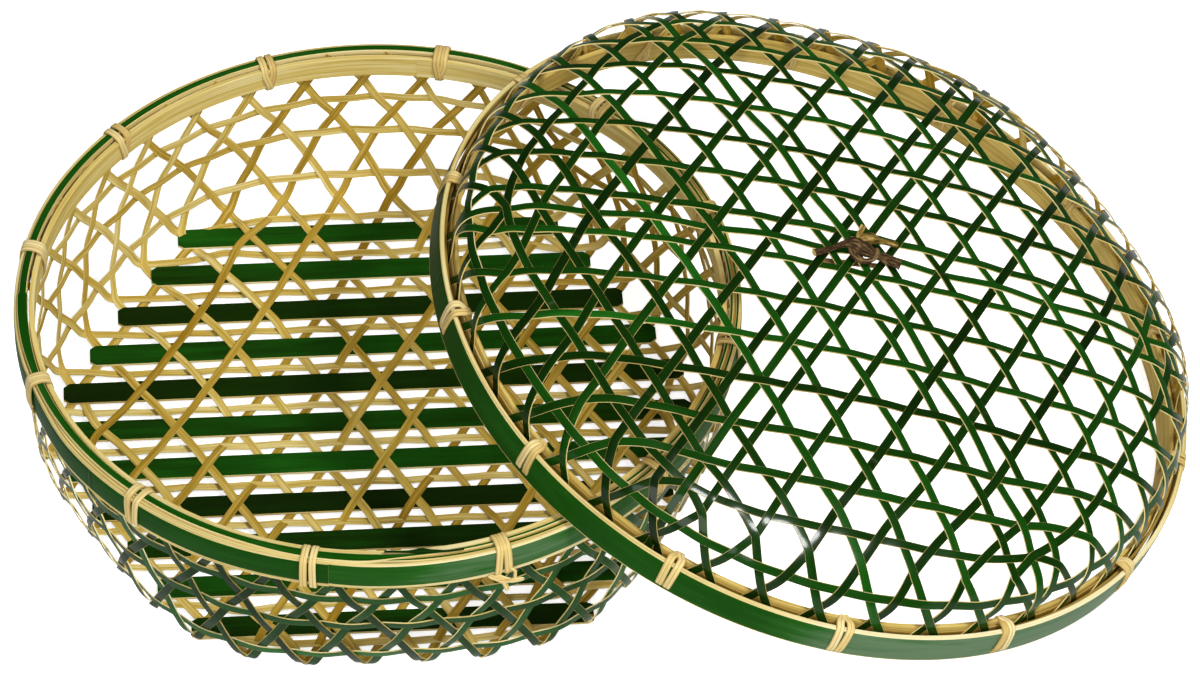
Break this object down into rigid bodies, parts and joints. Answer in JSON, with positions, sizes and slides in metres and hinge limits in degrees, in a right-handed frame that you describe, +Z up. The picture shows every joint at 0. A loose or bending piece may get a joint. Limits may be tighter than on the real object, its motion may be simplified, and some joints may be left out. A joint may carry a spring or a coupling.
{
  "type": "lidded bamboo basket",
  "caption": "Round shallow basket of open hexagonal split-bamboo weave with wide floor slats and a tied hoop rim, its domed lid resting tilted over one edge.",
  "frame": {"origin": "on the ground, under the middle of the whole object's bounding box", "axes": "+Z up; +X from the base basket towards the lid's low edge, along the floor slats to within 2.4 degrees; +Y away from the side that the picture was taken from"},
  "size_m": [0.6558, 0.4452, 0.1851],
  "materials": {
    "bamboo_green": "satin green bamboo skin",
    "bamboo_strip": "satin, green skin outside and pale inside",
    "bamboo_slat": "satin green bamboo skin",
    "bamboo_pale": "pale split bamboo, fine grain",
    "rattan": "pale rattan peel, satin",
    "vine_brown": "dark bark, matt",
    "vine_tan": "golden bark, satin"
  },
  "bodies": {
    "base": {"base_outer_hoop": "bamboo_green", "base_inner_hoop": "bamboo_pale", "base_rim_cover": "bamboo_green", "base_weave_a": "bamboo_strip", "base_weave_b": "bamboo_strip", "base_weave_c": "bamboo_strip", "base_ring_strip_1": "bamboo_strip", "base_ring_strip_2": "bamboo_strip", "base_ring_strip_3": "bamboo_strip", "base_tie_01": "rattan", "base_tie_02": "rattan", "base_tie_03": "rattan", "base_tie_04": "rattan", "base_tie_05": "rattan", "base_tie_06": "rattan", "base_tie_07": "rattan", "base_tie_08": "rattan", "base_tie_09": "rattan", "base_tie_10": "rattan", "base_tie_11": "rattan", "base_tie_12": "rattan", "floor_slat_01": "bamboo_slat", "floor_slat_02": "bamboo_slat", "floor_slat_03": "bamboo_slat", "floor_slat_04": "bamboo_slat", "floor_slat_05": "bamboo_slat", "floor_slat_06": "bamboo_slat", "floor_slat_07": "bamboo_slat", "floor_slat_08": "bamboo_slat", "floor_slat_09": "bamboo_slat", "floor_slat_10": "bamboo_slat", "floor_slat_11": "bamboo_slat"},
    "lid": {"lid_outer_hoop": "bamboo_green", "lid_inner_hoop": "bamboo_pale", "lid_rim_cover": "bamboo_green", "lid_weave_a": "bamboo_green", "lid_weave_b": "bamboo_green", "lid_weave_c": "bamboo_green", "lid_ring_strip_1": "bamboo_green", "lid_tie_01": "rattan", "lid_tie_02": "rattan", "lid_tie_03": "rattan", "lid_tie_04": "rattan", "lid_tie_05": "rattan", "lid_tie_06": "rattan", "lid_tie_07": "rattan", "lid_tie_08": "rattan", "lid_tie_09": "rattan", "lid_tie_10": "rattan", "lid_tie_11": "rattan", "lid_tie_12": "rattan", "lid_tie_13": "rattan", "lid_tie_14": "rattan", "handle_vine_dark": "vine_brown", "handle_loop": "vine_brown", "handle_vine_tan": "vine_tan", "handle_peg": "vine_brown"}
  },
  "joints": [
    {"name": "lid_lift", "type": "slide", "parent": "base", "child": "lid", "axis": [0, 0, 1], "range_m": [0, 0.25]}
  ]
}
